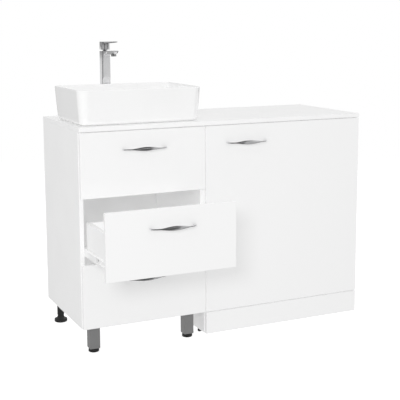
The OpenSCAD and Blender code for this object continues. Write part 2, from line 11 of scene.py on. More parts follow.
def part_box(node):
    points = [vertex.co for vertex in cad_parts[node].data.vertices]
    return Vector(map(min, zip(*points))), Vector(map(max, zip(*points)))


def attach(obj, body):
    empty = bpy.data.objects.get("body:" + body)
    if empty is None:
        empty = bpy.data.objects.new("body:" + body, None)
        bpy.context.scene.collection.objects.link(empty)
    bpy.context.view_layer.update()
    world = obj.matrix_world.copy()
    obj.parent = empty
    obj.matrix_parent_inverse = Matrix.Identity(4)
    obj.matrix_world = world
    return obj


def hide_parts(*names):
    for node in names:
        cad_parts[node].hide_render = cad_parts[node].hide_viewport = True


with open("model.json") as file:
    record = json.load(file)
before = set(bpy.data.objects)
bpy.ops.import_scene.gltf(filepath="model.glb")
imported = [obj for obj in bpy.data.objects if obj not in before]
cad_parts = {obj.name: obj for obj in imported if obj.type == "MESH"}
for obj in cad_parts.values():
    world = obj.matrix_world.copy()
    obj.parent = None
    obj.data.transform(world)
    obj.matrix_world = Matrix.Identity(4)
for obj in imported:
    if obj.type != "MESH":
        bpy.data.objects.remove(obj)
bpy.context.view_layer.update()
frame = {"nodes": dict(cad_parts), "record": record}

MM = 0.001
SMOOTH_ANGLE = 35           # edges sharper than this many degrees stay sharp
HANDLE_SCREW_X = 80 * MM    # how far a handle's screws are from its middle
SHEET = 1.5 * MM            # thickness of the runners' steel
PIPE_R = 16 * MM            # outer radius of the trap's pipes
SOCKET_R = 16.3 * MM        # bore that takes a pipe
ON_AXIS = 1e-5              # radius of the hole left in a turned piece where it meets its axis
BODY_OF = {n: b for b, ns in frame["record"]["behaviour"]["bodies"].items() for n in ns}
SLOT_OF = {s["node"]: s["material_slot"] for s in frame["record"]["subparts"]}
DRAWERS = ("upper", "middle", "lower")


# ---------- materials ----------

MATERIALS = {}


def new_material(name):
    mat = bpy.data.materials.new(name)
    mat.use_nodes = True
    return mat, mat.node_tree, mat.node_tree.nodes["Principled BSDF"]


def noise(tree, scale, detail, rough=0.5, stretch=(1, 1, 1)):
    """A noise texture in the piece's own metres; stretch squeezes it along an axis."""
    coord = tree.nodes.new("ShaderNodeTexCoord")
    mapping = tree.nodes.new("ShaderNodeMapping")
    mapping.inputs["Scale"].default_value = stretch
    tex = tree.nodes.new("ShaderNodeTexNoise")
    tex.inputs["Scale"].default_value = scale
    tex.inputs["Detail"].default_value = detail
    tex.inputs["Roughness"].default_value = rough
    tree.links.new(coord.outputs["Object"], mapping.inputs["Vector"])
    tree.links.new(mapping.outputs["Vector"], tex.inputs["Vector"])
    return tex.outputs["Fac"]


def remap(tree, value, low, high, from_low=0.3, from_high=0.7):
    """Stretches a value from from_low..from_high to low..high."""
    node = tree.nodes.new("ShaderNodeMapRange")
    node.inputs["From Min"].default_value = from_low
    node.inputs["From Max"].default_value = from_high
    node.inputs["To Min"].default_value = low
    node.inputs["To Max"].default_value = high
    tree.links.new(value, node.inputs["Value"])
    return node.outputs["Result"]


def colour_between(tree, value, dark, light, low=0.35, high=0.65):
    """Blends from dark to light as the value goes from low to high."""
    ramp = tree.nodes.new("ShaderNodeValToRGB")
    ramp.color_ramp.elements[0].position = low
    ramp.color_ramp.elements[1].position = high
    ramp.color_ramp.elements[0].color = (*dark, 1)
    ramp.color_ramp.elements[1].color = (*light, 1)
    tree.links.new(value, ramp.inputs["Fac"])
    return ramp.outputs["Color"]


def bump(tree, heights, shader):
    """Stacks bumps: heights is a list of (texture output, depth in metres)."""
    last = None
    for value, depth in heights:
        node = tree.nodes.new("ShaderNodeBump")
        node.inputs["Distance"].default_value = depth
        node.inputs["Strength"].default_value = 1.0
        tree.links.new(value, node.inputs["Height"])
        if last:
            tree.links.new(last, node.inputs["Normal"])
        last = node.outputs["Normal"]
    tree.links.new(last, shader.inputs["Normal"])


def surface(name, dark, light, rough, relief, *, cloud, metallic=0.0, coat=0.0, coat_rough=0.05,
            stretch=(1, 1, 1)):
    """Adds a material with cloudy colour, uneven gloss and fine relief. rough is the range of
    roughness, relief a list of (scale, depth in mm), and cloud the scale of the clouds."""
    mat, tree, shader = new_material(name)
    clouds = noise(tree, cloud, 2.0, 0.4)
    tree.links.new(colour_between(tree, clouds, dark, light, 0.25, 0.75), shader.inputs["Base Color"])
    uneven = noise(tree, cloud * 5, 3.0, 0.6, stretch)
    tree.links.new(remap(tree, uneven, rough[0], rough[1]), shader.inputs["Roughness"])
    shader.inputs["Metallic"].default_value = metallic
    shader.inputs["Coat Weight"].default_value = coat
    shader.inputs["Coat Roughness"].default_value = coat_rough
    shader.inputs["IOR"].default_value = 1.5
    bump(tree, [(noise(tree, scale, 2.0, 0.5, stretch), depth * MM) for scale, depth in relief], shader)
    MATERIALS[name] = mat


def grey(v):
    return (v, v, v)


surface("gloss_front", grey(0.876), grey(0.884), (0.25, 0.27), [(260, 0.008)], coat=0.35,
        coat_rough=0.08, cloud=2)
surface("edging", grey(0.87), grey(0.90), (0.35, 0.45), [(900, 0.03)], cloud=12)
surface("white_board", grey(0.865), grey(0.885), (0.42, 0.52), [(1400, 0.04), (160, 0.03)], cloud=8)
surface("worktop", grey(0.865), grey(0.89), (0.32, 0.40), [(700, 0.03)], cloud=5, coat=0.1,
        coat_rough=0.2)
surface("thin_board", grey(0.79), grey(0.83), (0.48, 0.6), [(800, 0.06), (90, 0.04)], cloud=10)
surface("runner_enamel", grey(0.865), grey(0.885), (0.28, 0.4), [(420, 0.04)], cloud=20, coat=0.2)
surface("grey_steel", grey(0.25), grey(0.285), (0.36, 0.48), [(700, 0.08), (120, 0.05)],
        metallic=0.35, cloud=14)
surface("black_plastic", grey(0.018), grey(0.030), (0.42, 0.58), [(1500, 0.1), (150, 0.05)], cloud=40)
surface("zinc_steel", grey(0.52), grey(0.66), (0.28, 0.42), [(500, 0.03)], metallic=1.0, cloud=60,
        stretch=(1, 1, 4))
surface("nickel_hinge", (0.60, 0.59, 0.56), (0.70, 0.69, 0.66), (0.18, 0.30), [(300, 0.02)],
        metallic=1.0, cloud=50)
surface("chrome", (0.80, 0.80, 0.81), (0.86, 0.86, 0.87), (0.035, 0.08), [(45, 0.012), (600, 0.002)],
        metallic=1.0, cloud=25)
surface("aerator_chrome", grey(0.50), grey(0.62), (0.12, 0.22), [(900, 0.05)], metallic=1.0, cloud=60)
surface("glazed_ceramic", grey(0.872), grey(0.89), (0.08, 0.14), [(22, 0.08), (240, 0.01)], coat=0.6,
        coat_rough=0.03, cloud=5)
surface("sealant", grey(0.74), grey(0.80), (0.3, 0.45), [(500, 0.1)], cloud=30)
surface("white_plastic", grey(0.84), grey(0.88), (0.25, 0.38), [(600, 0.03), (60, 0.05)], cloud=20)
surface("dark_insert", grey(0.015), grey(0.03), (0.4, 0.6), [(1200, 0.1)], cloud=80)


# ---------- mesh helpers ----------

def solids(node):
    """Boxes of a CAD node's separate solids, sorted by their lowest corners."""
    mesh = frame["nodes"][node].data
    parent, corners = {}, {}
    keys = [tuple(round(c / (0.01 * MM)) for c in v.co) for v in mesh.vertices]

    def find(k):
        while parent[k] != k:
            parent[k] = parent[parent[k]]
            k = parent[k]
        return k

    for k in keys:
        parent.setdefault(k, k)
    for face in mesh.polygons:
        first = find(keys[face.vertices[0]])
        for v in face.vertices[1:]:
            parent[find(keys[v])] = first
    for k, v in zip(keys, mesh.vertices):
        corners.setdefault(find(k), []).append(v.co)
    boxes = [(Vector(map(min, zip(*co))), Vector(map(max, zip(*co)))) for co in corners.values()]
    return sorted(boxes, key=lambda b: tuple(round(c, 4) for c in b[0]))


def centre(node):
    low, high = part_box(node)
    return (low + high) / 2


def make(name, bm, material, node=None, body=None, angle=SMOOTH_ANGLE, others=()):
    """Turns bm into a piece that rides on its body. node is the CAD node that it stands for,
    and others are the materials of faces with a material index above 0."""
    bmesh.ops.remove_doubles(bm, verts=bm.verts, dist=1e-6)
    bmesh.ops.recalc_face_normals(bm, faces=bm.faces)
    mesh = bpy.data.meshes.new(name)
    bm.to_mesh(mesh)
    bm.free()
    mesh.shade_smooth()
    mesh.set_sharp_from_angle(angle=math.radians(angle))
    obj = bpy.data.objects.new(name, mesh)
    bpy.context.scene.collection.objects.link(obj)
    for m in (material, *others):
        mesh.materials.append(MATERIALS[m])
    flat = obj.modifiers.new("flat faces shade flat", "WEIGHTED_NORMAL")
    flat.keep_sharp = True
    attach(obj, body or BODY_OF[node])
    if node:
        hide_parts(node)
    return obj


def add_box(bm, low, high, bevel=0.0, segments=2, edge_material=None):
    """A box with rounded edges. Its narrow faces may take a second material."""
    low, high = Vector(low), Vector(high)
    verts = bmesh.ops.create_cube(bm, size=1)["verts"]
    size, mid = high - low, (low + high) / 2
    for v in verts:
        v.co = Vector((v.co.x * size.x, v.co.y * size.y, v.co.z * size.z)) + mid
    thin = min(range(3), key=lambda i: size[i])
    if edge_material is not None:
        for face in {f for v in verts for f in v.link_faces}:
            face.normal_update()
            if abs(face.normal[thin]) < 0.5:
                face.material_index = edge_material
    if bevel:
        edges = {e for v in verts for e in v.link_edges}
        bmesh.ops.bevel(bm, geom=list(edges), offset=bevel, segments=segments, profile=0.5,
                        affect="EDGES", clamp_overlap=True)


def boards(node, material, bevel, segments=2, cutters=()):
    """Rebuilds every board of a CAD node with eased edges and edge banding."""
    bm = bmesh.new()
    for low, high in solids(node):
        add_box(bm, low, high, bevel, segments, edge_material=1)
    obj = make(node + "_looks", bm, material, node, others=("edging",))
    if cutters:
        cut(obj, cutters)
    return obj


def combine(obj, bm, operation):
    """Adds the solid bm to a piece, or takes it away."""
    mesh = bpy.data.meshes.new("tool")
    bmesh.ops.recalc_face_normals(bm, faces=bm.faces)
    bm.to_mesh(mesh)
    bm.free()
    tool = bpy.data.objects.new("tool", mesh)
    bpy.context.scene.collection.objects.link(tool)
    mod = obj.modifiers.new("combine", "BOOLEAN")
    mod.object, mod.operation, mod.solver = tool, operation, "EXACT"
    obj.modifiers.move(len(obj.modifiers) - 1, 0)
    bpy.context.view_layer.update()
    depsgraph = bpy.context.evaluated_depsgraph_get()
    result = bpy.data.meshes.new_from_object(obj.evaluated_get(depsgraph))
    obj.modifiers.remove(mod)
    old, obj.data = obj.data, result
    bpy.data.meshes.remove(old)
    bpy.data.objects.remove(tool)


def cut(obj, cutters):
    """Takes solids away from a piece."""
    for bm in cutters:
        combine(obj, bm, "DIFFERENCE")
    obj.data.shade_smooth()
    obj.data.set_sharp_from_angle(angle=math.radians(SMOOTH_ANGLE))


def bridge(bm, rings, closed_ends=(True, True), loop=False):
    """Skins a list of rings of equal length; with loop, the last ring joins the first."""
    made = [[bm.verts.new(p) for p in ring] for ring in rings]
    n = len(made[0])
    for a, b in zip(made, made[1:] + (made[:1] if loop else [])):
        for i in range(n):
            j = (i + 1) % n
            bm.faces.new((a[i], a[j], b[j], b[i]))
    if closed_ends[0] and not loop:
        bm.faces.new(list(reversed(made[0])))
    if closed_ends[1] and not loop:
        bm.faces.new(made[-1])


def lathe(bm, profile, at, axis="Z", *, steps, flats=None):
    """Turns a (radius, height) profile round an axis through the point at. A profile that
    doesn't run from axis to axis is closed. flats is (count, depth, the radius beyond which
    the grips are cut)."""
    turn = {"Z": Matrix.Identity(4),
            "Y": Matrix.Rotation(math.radians(-90), 4, "X"),
            "-Y": Matrix.Rotation(math.radians(90), 4, "X"),
            "-Z": Matrix.Rotation(math.radians(180), 4, "X"),
            "X": Matrix.Rotation(math.radians(90), 4, "Y"),
            "-X": Matrix.Rotation(math.radians(-90), 4, "Y")}[axis]
    place = Matrix.Translation(Vector(at)) @ turn
    count, depth, beyond = flats or (0, 0, math.inf)
    rings = []
    for r, h in profile:
        r = max(r, ON_AXIS)
        ring = []
        for i in range(steps):
            a = 2 * math.pi * i / steps
            grip = depth * (0.5 + 0.5 * math.cos(count * a)) ** 6 if r > beyond else 0
            ring.append(place @ Vector(((r - grip) * math.cos(a), (r - grip) * math.sin(a), h)))
        rings.append(ring)
    from_axis_to_axis = max(profile[0][0], profile[-1][0]) < ON_AXIS
    bridge(bm, rings, loop=not from_axis_to_axis)


def rounded(points, radius, steps=4):
    """Rounds the corners of an open (radius, height) outline; radius is a number or one per corner."""
    out = [points[0]]
    for k in range(1, len(points) - 1):
        r = radius[k - 1] if isinstance(radius, (list, tuple)) else radius
        p = Vector(points[k])
        u, v = Vector(points[k - 1]) - p, Vector(points[k + 1]) - p
        r = min(r, u.length * 0.49, v.length * 0.49)
        if r < 1e-7:
            out.append(tuple(p))
            continue
        s, e = p + u.normalized() * r, p + v.normalized() * r
        for i in range(steps + 1):
            t = i / steps
            out.append(tuple(s * (1 - t) ** 2 + p * 2 * t * (1 - t) + e * t ** 2))
    out.append(points[-1])
    return out


def rounded_rect(w, d, r, per_corner, per_side):
    """Points of a rounded rectangle round the origin, counter-clockwise, evenly numbered."""
    out = []
    corners = [(w / 2 - r, d / 2 - r, 0), (-w / 2 + r, d / 2 - r, 90),
               (-w / 2 + r, -d / 2 + r, 180), (w / 2 - r, -d / 2 + r, 270)]
    for k, (cx, cy, start) in enumerate(corners):
        for i in range(per_corner + 1):
            a = math.radians(start + 90 * i / per_corner)
            out.append(Vector((cx + r * math.cos(a), cy + r * math.sin(a))))
        nx, ny, s2 = corners[(k + 1) % 4]
        a2 = math.radians(s2)
        nxt = Vector((nx + r * math.cos(a2), ny + r * math.sin(a2)))
        last = out[-1]
        for i in range(1, per_side + 1):
            out.append(last.lerp(nxt, i / (per_side + 1)))
    return out


def rect_ring(at, z, w, d, r, per_corner, per_side):
    """A level rounded rectangle round the point at."""
    return [Vector((at.x + p.x, at.y + p.y, z)) for p in rounded_rect(w, d, r, per_corner, per_side)]


def tube_along(bm, points, radius, inner, steps):
    """A round pipe along points, open at both ends."""
    rings_out, rings_in = [], []
    side = Vector((1, 0, 0))
    for i, p in enumerate(points):
        a = points[max(i - 1, 0)]
        b = points[min(i + 1, len(points) - 1)]
        along = (b - a).normalized()
        up = along.cross(side).normalized()
        for rings, r in ((rings_out, radius), (rings_in, inner)):
            rings.append([p + side * r * math.cos(2 * math.pi * k / steps)
                          + up * r * math.sin(2 * math.pi * k / steps) for k in range(steps)])
    bridge(bm, rings_out + rings_in[::-1], loop=True)


def cylinder(low, high, radius, steps=40):
    """A solid cylinder between two points, as a cutter."""
    bm = bmesh.new()
    low, high = Vector(low), Vector(high)
    along = high - low
    turn = along.to_track_quat("Z", "Y").to_matrix().to_4x4()
    bmesh.ops.create_cone(bm, cap_ends=True, segments=steps, radius1=radius, radius2=radius,
                          depth=along.length, matrix=Matrix.Translation((low + high) / 2) @ turn)
    return bm


def block(low, high):
    bm = bmesh.new()
    add_box(bm, low, high)
    return bm


def screw_head(bm, at, axis, r, h):
    """A domed head with a recess, standing on the surface at the point at."""
    lathe(bm, [(0, 0), (r, 0), (r, h * 0.35), (r * 0.8, h * 0.8), (r * 0.45, h), (r * 0.4, h),
               (r * 0.22, h * 0.35), (0, h * 0.3)], at, axis, steps=20)


# ---------- cabinet ----------

waste_c, column_c = centre("waste_flange"), centre("mixer_base_ring")
top_low, top_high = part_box("countertop")
boards("countertop", "worktop", 1.4 * MM, 4, cutters=[
    cylinder((c.x, c.y, top_low.z - MM), (c.x, c.y, top_high.z + MM), hole_r)
    for c, hole_r in ((waste_c, 21 * MM), (column_c, 17.5 * MM))])
for node in ("drawer_unit_left_side", "drawer_unit_right_side", "drawer_unit_bottom",
             "drawer_unit_rails", "washer_unit_left_side", "washer_unit_right_side",
             "washer_unit_rails"):
    boards(node, "white_board", 0.6 * MM)
boards("plinth_panel", "gloss_front", 1.0 * MM, 3)
back_low, back_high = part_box("drawer_unit_back")
outlet_x, _, outlet_z = next(m for m in frame["record"]["mounts"] if m["name"] == "waste_outlet")["pos_m"]
boards("drawer_unit_back", "thin_board", 0.4 * MM, cutters=[
    block((outlet_x - 100 * MM, back_low.y - MM, outlet_z - 45 * MM),
          (outlet_x + 100 * MM, back_high.y + MM, outlet_z + 70 * MM))])

# Angles of sheet steel that hold the plinth panel
bm = bmesh.new()
plinth_c, thick = centre("plinth_panel"), 2 * MM
for low, high in solids("plinth_brackets"):
    left = low.x < plinth_c.x
    wall_x = low.x if left else high.x - thick
    face_x = low.x + thick if left else high.x - thick
    add_box(bm, low, (high.x, low.y + thick, high.z), 0.5 * MM)
    add_box(bm, (wall_x, low.y, low.z), (wall_x + thick, high.y, high.z), 0.5 * MM)
    for y in (low.y + 12 * MM, low.y + 23 * MM):
        screw_head(bm, (face_x, y, (low.z + high.z) / 2), "X" if left else "-X", 3 * MM, 1.4 * MM)
make("plinth_brackets_looks", bm, "zinc_steel", "plinth_brackets")


# ---------- legs, feet and glides ----------

leg_side, plate_t = 40 * MM, 4 * MM

# Square steel legs under a plate
bm = bmesh.new()
for low, high in solids("front_legs"):
    mid = (low + high) / 2
    plate_z = high.z - plate_t
    rings = []
    for z, inset in ((low.z, 1.2), (low.z + 0.4 * MM, 0.4), (low.z + 1.2 * MM, 0), (plate_z, 0)):
        side = leg_side - 2 * inset * MM
        rings.append(rect_ring(mid, z, side, side, 3.5 * MM, 6, 2))
    bridge(bm, rings)
    add_box(bm, (low.x, low.y, plate_z), high, 0.8 * MM)
make("front_legs_looks", bm, "grey_steel", "front_legs")

# Round plastic legs that flare into a plate on four ribs
bm = bmesh.new()
for low, high in solids("rear_legs"):
    mid = (low + high) / 2
    plate_z = high.z - plate_t
    add_box(bm, (low.x, low.y, plate_z), high, 1.0 * MM, 3)
    lathe(bm, [(0, low.z), (12.5 * MM, low.z), (14 * MM, low.z + 1.5 * MM), (14 * MM, plate_z - 14 * MM),
               (16 * MM, plate_z - 8 * MM), (20 * MM, plate_z - 3 * MM), (24 * MM, plate_z + 0.5 * MM),
               (0, plate_z + 0.5 * MM)], (mid.x, mid.y, 0), steps=40)
    c = Vector((mid.x, mid.y, 0))
    rib = [(13 * MM, plate_z - 24 * MM), (30 * MM, plate_z - 2 * MM), (30 * MM, plate_z),
           (13 * MM, plate_z)]
    for k in range(4):
        a = math.radians(45 + 90 * k)
        u, v = Vector((math.cos(a), math.sin(a), 0)), Vector((-math.sin(a), math.cos(a), 0))
        bridge(bm, [[c + u * r + v * s * 1.3 * MM + Vector((0, 0, z)) for r, z in rib]
                    for s in (-1, 1)])
make("rear_legs_looks", bm, "black_plastic", "rear_legs")

bm = bmesh.new()
for low, high in solids("leg_screws"):
    mid = (low + high) / 2
    screw_head(bm, (mid.x, mid.y, high.z), "-Z", 3.5 * MM, 2 * MM)
make("leg_screws_looks", bm, "zinc_steel", "leg_screws")

# Levelling feet: a gripped pad, a cone and the stud
for node in ("front_left_foot", "front_right_foot", "rear_left_foot", "rear_right_foot"):
    low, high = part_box(node)
    mid = (low + high) / 2
    is_front = node.startswith("front")
    pad_r = (high.x - low.x) / 2
    pad_h, cone_r, cone_z = (10 * MM, 16 * MM, 13.5 * MM) if is_front else (12 * MM, 13 * MM, 27 * MM)
    outline = [(0, 0), (pad_r - 2.2 * MM, 0), (pad_r - 1 * MM, 0.6 * MM), (pad_r, 2 * MM),
               (pad_r, pad_h - 1 * MM), (pad_r - 1 * MM, pad_h)]
    if is_front:
        outline += [(cone_r, cone_z - 0.8 * MM), (cone_r - 1 * MM, cone_z)]
    else:
        outline += [(pad_r - 5 * MM, pad_h + 1.2 * MM), (cone_r + 1.5 * MM, cone_z - 9 * MM),
                    (cone_r, cone_z - 4 * MM), (cone_r, cone_z - 0.8 * MM), (cone_r - 1 * MM, cone_z)]
    outline += [(5 * MM, cone_z), (5 * MM, high.z - 1 * MM), (4 * MM, high.z), (0, high.z)]
    bm = bmesh.new()
    lathe(bm, outline, (mid.x, mid.y, 0), steps=72, flats=(18, 0.9 * MM, pad_r - 1.5 * MM))
    make(node + "_looks", bm, "black_plastic", node)

bm = bmesh.new()
for low, high in solids("glides"):
    mid = (low + high) / 2
    r = (high.x - low.x) / 2
    lathe(bm, [(0, 0), (r - 1.2 * MM, 0), (r, 1.2 * MM), (r, high.z - 3 * MM), (r - 2 * MM, high.z),
               (0, high.z)], (mid.x, mid.y, 0), steps=32)
make("glides_looks", bm, "black_plastic", "glides")


# ---------- runners ----------

def channel(bm, low, high, web_right):
    """A folded steel channel along Y, with its web on the right or the left and open opposite."""
    w, h, t = high.x - low.x, high.z - low.z, SHEET
    outline = [(w, 0), (0, 0), (0, h), (w, h), (w, h - t), (t, h - t), (t, t), (w, t)]
    edge, fold, inside = 0.4 * MM, 2.0 * MM, 0.8 * MM
    radii = [edge, fold, fold, edge, edge, inside, inside, edge]
    closed = rounded(outline[-1:] + outline + outline[:1], radii, 3)[1:-1]
    bridge(bm, [[Vector((high.x - x if web_right else low.x + x, y, low.z + z)) for x, z in closed]
                for y in (low.y, high.y)])


mid_x = centre("drawer_unit_bottom").x
bm = bmesh.new()
for low, high in solids("cabinet_runners"):
    channel(bm, low, high, web_right=low.x >= mid_x)
make("cabinet_runners_looks", bm, "runner_enamel", "cabinet_runners")
for d in DRAWERS:
    bm = bmesh.new()
    for low, high in solids(d + "_middle_runners"):
        channel(bm, low, high, web_right=low.x > mid_x)
    make(d + "_middle_runners_looks", bm, "runner_enamel", d + "_middle_runners")
    bm, screws = bmesh.new(), bmesh.new()
    for low, high in solids(d + "_drawer_runners"):
        left = low.x < mid_x
        channel(bm, low, high, web_right=left)
        web_x = high.x - SHEET if left else low.x + SHEET
        for share in (0.08, 0.5, 0.9):
            screw_head(screws, (web_x, low.y + share * (high.y - low.y), (low.z + high.z) / 2),
                       "-X" if left else "X", 3.2 * MM, 1.6 * MM)
    make(d + "_drawer_runners_looks", bm, "runner_enamel", d + "_drawer_runners")
    make(d + "_drawer_runner_screws", screws, "zinc_steel", body=d + "_drawer")


# ---------- bow handles ----------

def bow_handle(node):
    """A chrome bow with a leaf-shaped middle, and the two screws that hold it."""
    low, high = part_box(node)
    cx, cz = (low.x + high.x) / 2, (low.z + high.z) / 2
    half, reach = (high.x - low.x) / 2, 28 * MM
    face_y = low.y + reach
    leaf, end = high.z - low.z, 5.2 * MM
    steps, around = 72, 28

    def signed_power(v, power):
        return math.copysign(abs(v) ** power, v)

    rings = []
    for i in range(steps + 1):
        a = math.pi * i / steps
        c, s = signed_power(math.cos(a), 2 / 2.8), abs(math.sin(a)) ** (2 / 2.8)
        outer = Vector((half * c, -reach * s))
        inner = Vector(((half - 12.5 * MM) * c, -(reach - 4 * MM) * s))
        mid, arm = (outer + inner) / 2, (outer - inner) / 2
        share = abs(mid.x) / half
        swell = max(0.0, math.cos(math.pi / 2 * min(1, share / 0.62))) ** 1.3      # the leaf
        foot = 3.4 * MM * (share - 0.75) / 0.2                                     # the flare at the ends
        height = max((end + (leaf - end) * swell) / 2, foot)
        ring = []
        for k in range(around):
            t = 2 * math.pi * k / around
            p = mid + arm * signed_power(math.cos(t), 0.8)
            ring.append(Vector((cx + p.x, face_y + p.y, cz + height * signed_power(math.sin(t), 0.8))))
        rings.append(ring)
    bm = bmesh.new()
    bridge(bm, rings)
    for s in (-1, 1):
        x = cx + s * HANDLE_SCREW_X
        lathe(bm, [(0, 0), (1.8 * MM, 0), (1.8 * MM, 16 * MM), (4 * MM, 16 * MM), (4 * MM, 17.2 * MM),
                   (3.2 * MM, 18.3 * MM), (1.9 * MM, 18.5 * MM), (1.4 * MM, 18.5 * MM),
                   (0.9 * MM, 17.2 * MM), (0, 17.1 * MM)], (x, face_y, cz), "Y", steps=24)
    make(node + "_looks", bm, "chrome", node, angle=50)


def front(node, handle, cutters=()):
    """A drawer front or door with eased edges and holes for its handle's screws."""
    low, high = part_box(node)
    c = centre(handle)
    holes = [cylinder((x, low.y - MM, c.z), (x, high.y + MM, c.z), 2.2 * MM, 20)
             for x in (c.x - HANDLE_SCREW_X, c.x + HANDLE_SCREW_X)]
    boards(node, "gloss_front", 1.0 * MM, 3, cutters=[*holes, *cutters])
    bow_handle(handle)


for d in DRAWERS:
    front(d + "_drawer_front", d + "_drawer_handle")
    boards(d + "_drawer_sides", "white_board", 0.6 * MM)
    boards(d + "_drawer_back", "white_board", 0.6 * MM)
    boards(d + "_drawer_base", "thin_board", 0.3 * MM)


# ---------- door and hinges ----------

cups = [(low, high, (low + high) / 2) for low, high in solids("hinge_cups")]
front("door", "door_handle", cutters=[
    cylinder((mid.x, low.y - 0.1 * MM, mid.z), (mid.x, high.y + 5 * MM, mid.z), 17.5 * MM, 48)
    for low, high, mid in cups])
# Cups: a pressed bowl with a rim and two ears
bm = bmesh.new()
for low, high, mid in cups:
    rim_y = high.y - 1.4 * MM
    deep = rim_y - low.y
    lathe(bm, [(0, -deep), (15.5 * MM, -deep), (17.4 * MM, -deep + 1.9 * MM), (17.4 * MM, 0.6 * MM),
               (18.4 * MM, 0.6 * MM), (18.4 * MM, 1.1 * MM), (15.6 * MM, 1.1 * MM),
               (15.4 * MM, -deep + 3 * MM), (14 * MM, -deep + 1 * MM), (0, -deep + 1 * MM)],
          (mid.x, rim_y, mid.z), "Y", steps=48)
    for s in (-1, 1):
        ear = [Vector((mid.x + p.x, 0, mid.z + s * 23.6 * MM + p.y)) for p in
               rounded_rect(22 * MM, 12.6 * MM, 4.5 * MM, 5, 1)]
        bridge(bm, [[Vector((p.x, y, p.z)) for p in ear] for y in (rim_y, rim_y + 1.2 * MM)])
        screw_head(bm, (mid.x, rim_y + 1.2 * MM, mid.z + s * 24.5 * MM), "Y", 3.4 * MM, 0.2 * MM)
make("hinge_cups_looks", bm, "nickel_hinge", "hinge_cups")

# Arms on their mounting plates
bm = bmesh.new()
for low, high in solids("hinge_arms"):
    mid_z = (low.z + high.z) / 2
    face_x = high.x - 4 * MM
    plate_y, plate_long = high.y - 33 * MM, 36 * MM
    plate = rounded_rect(plate_long, high.z - low.z, 5 * MM, 5, 2)
    bridge(bm, [[Vector((x, plate_y + p.x, mid_z + p.y)) for p in plate] for x in (high.x, face_x)])
    rings = []
    for y, wide, tall in ((low.y, 4, 5), (low.y + 4 * MM, 6.4, 8), (low.y + 26 * MM, 7.6, 10.5),
                          (high.y - 3 * MM, 8, 12), (high.y, 7, 11)):
        rings.append([Vector((face_x - tall / 2 * MM + p.y, y, mid_z + p.x)) for p in
                      rounded_rect(2 * wide * MM, tall * MM, 1.6 * MM, 4, 1)])
    bridge(bm, rings)
    for x, y, z in ((face_x - 10.8 * MM, high.y - 40 * MM, mid_z),
                    (face_x - 11.6 * MM, high.y - 12 * MM, mid_z),
                    (face_x, plate_y, low.z + 5.5 * MM), (face_x, plate_y, high.z - 5.5 * MM)):
        screw_head(bm, (x, y, z), "-X", 3.4 * MM, 1.5 * MM)
make("hinge_arms_looks", bm, "nickel_hinge", "hinge_arms")


# ---------- basin, seal and waste ----------

def basin():
    """The bowl as one closed skin: up the outside, over the rim, down the inside and through the hole."""
    low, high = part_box("basin")
    mid = (low + high) / 2
    w, d = high.x - low.x, high.y - low.y
    z0, z1 = low.z, high.z
    floor = z0 + 16 * MM
    hole = 21 * MM

    def ring(inset, z, r):
        return rect_ring(mid, z, w - 2 * inset * MM, d - 2 * inset * MM, r * MM, 12, 14)

    def round_ring(r, z):
        """A circle with its points in the same directions as a rounded rectangle's."""
        out = []
        for p in rounded_rect(w - 102 * MM, d - 102 * MM, 27 * MM, 12, 14):
            a = math.atan2(p.y * (w / d), p.x)
            out.append(Vector((mid.x + r * math.cos(a), mid.y + r * math.sin(a), z)))
        return out

    def between(a, b, t, z):
        return [Vector((p.x + (q.x - p.x) * t, p.y + (q.y - p.y) * t, z)) for p, q in zip(a, b)]

    # foot and outer wall
    rings = [ring(18, z0, 24), ring(17, z0 + 0.3 * MM, 24.5), ring(15, z0 + 1.1 * MM, 25.5),
             ring(12.6, z0 + 2.8 * MM, 27), ring(10.8, z0 + 5.2 * MM, 28.5), ring(9.7, z0 + 8 * MM, 29.3),
             ring(8.9, z0 + 12 * MM, 30)]
    for k in range(1, 12):
        t = k / 12
        z = z0 + 12 * MM + t * (z1 - 6 * MM - z0 - 12 * MM)
        rings.append(ring(8.9 * (1 - t) + 0.35 * t - 0.5 * math.sin(math.pi * t), z, 30 + 5.8 * t))
    # rim
    rings += [ring(0.1, z1 - 4.5 * MM, 36), ring(0, z1 - 3.2 * MM, 36), ring(0.3, z1 - 1.8 * MM, 35.7),
              ring(1.1, z1 - 0.7 * MM, 35), ring(2.3, z1 - 0.1 * MM, 34), ring(3.4, z1, 33),
              ring(5.6, z1, 31), ring(7, z1 - 0.3 * MM, 29.5), ring(8.2, z1 - 1.2 * MM, 28.3),
              ring(8.9, z1 - 2.8 * MM, 27.6), ring(9.3, z1 - 5 * MM, 27.4)]
    # inner wall and the round into the floor
    for k in range(1, 11):
        t = k / 10
        z = z1 - 5 * MM - t * (z1 - 5 * MM - floor - 26 * MM)
        rings.append(ring(9.3 + 9.0 * t ** 1.25, z, 27.4))
    for k in range(1, 9):
        a = math.pi / 2 * k / 8
        rings.append(ring(18.3 + 32 * (1 - math.cos(a)), floor + 1.4 * MM + 24.6 * MM * (1 - math.sin(a)),
                          27.4 - 1.4 * k / 8))
    # floor and waste hole
    edge = rings[-1]
    lip = round_ring(hole + 13 * MM, floor)
    for t in (0.15, 0.35, 0.55, 0.75, 0.9):
        rings.append(between(edge, lip, t, floor + 1.4 * MM * (1 - t) ** 1.3))
    rings += [lip, round_ring(hole + 1 * MM, floor), round_ring(hole + 0.2 * MM, floor - 0.5 * MM),
              round_ring(hole, floor - 1.5 * MM), round_ring(hole, z0 + 1 * MM),
              round_ring(hole + 1 * MM, z0 + 0.2 * MM), round_ring(hole + 30 * MM, z0 + 0.2 * MM)]
    bm = bmesh.new()
    bridge(bm, rings, loop=True)
    make("basin_looks", bm, "glazed_ceramic", "basin", angle=60)


basin()

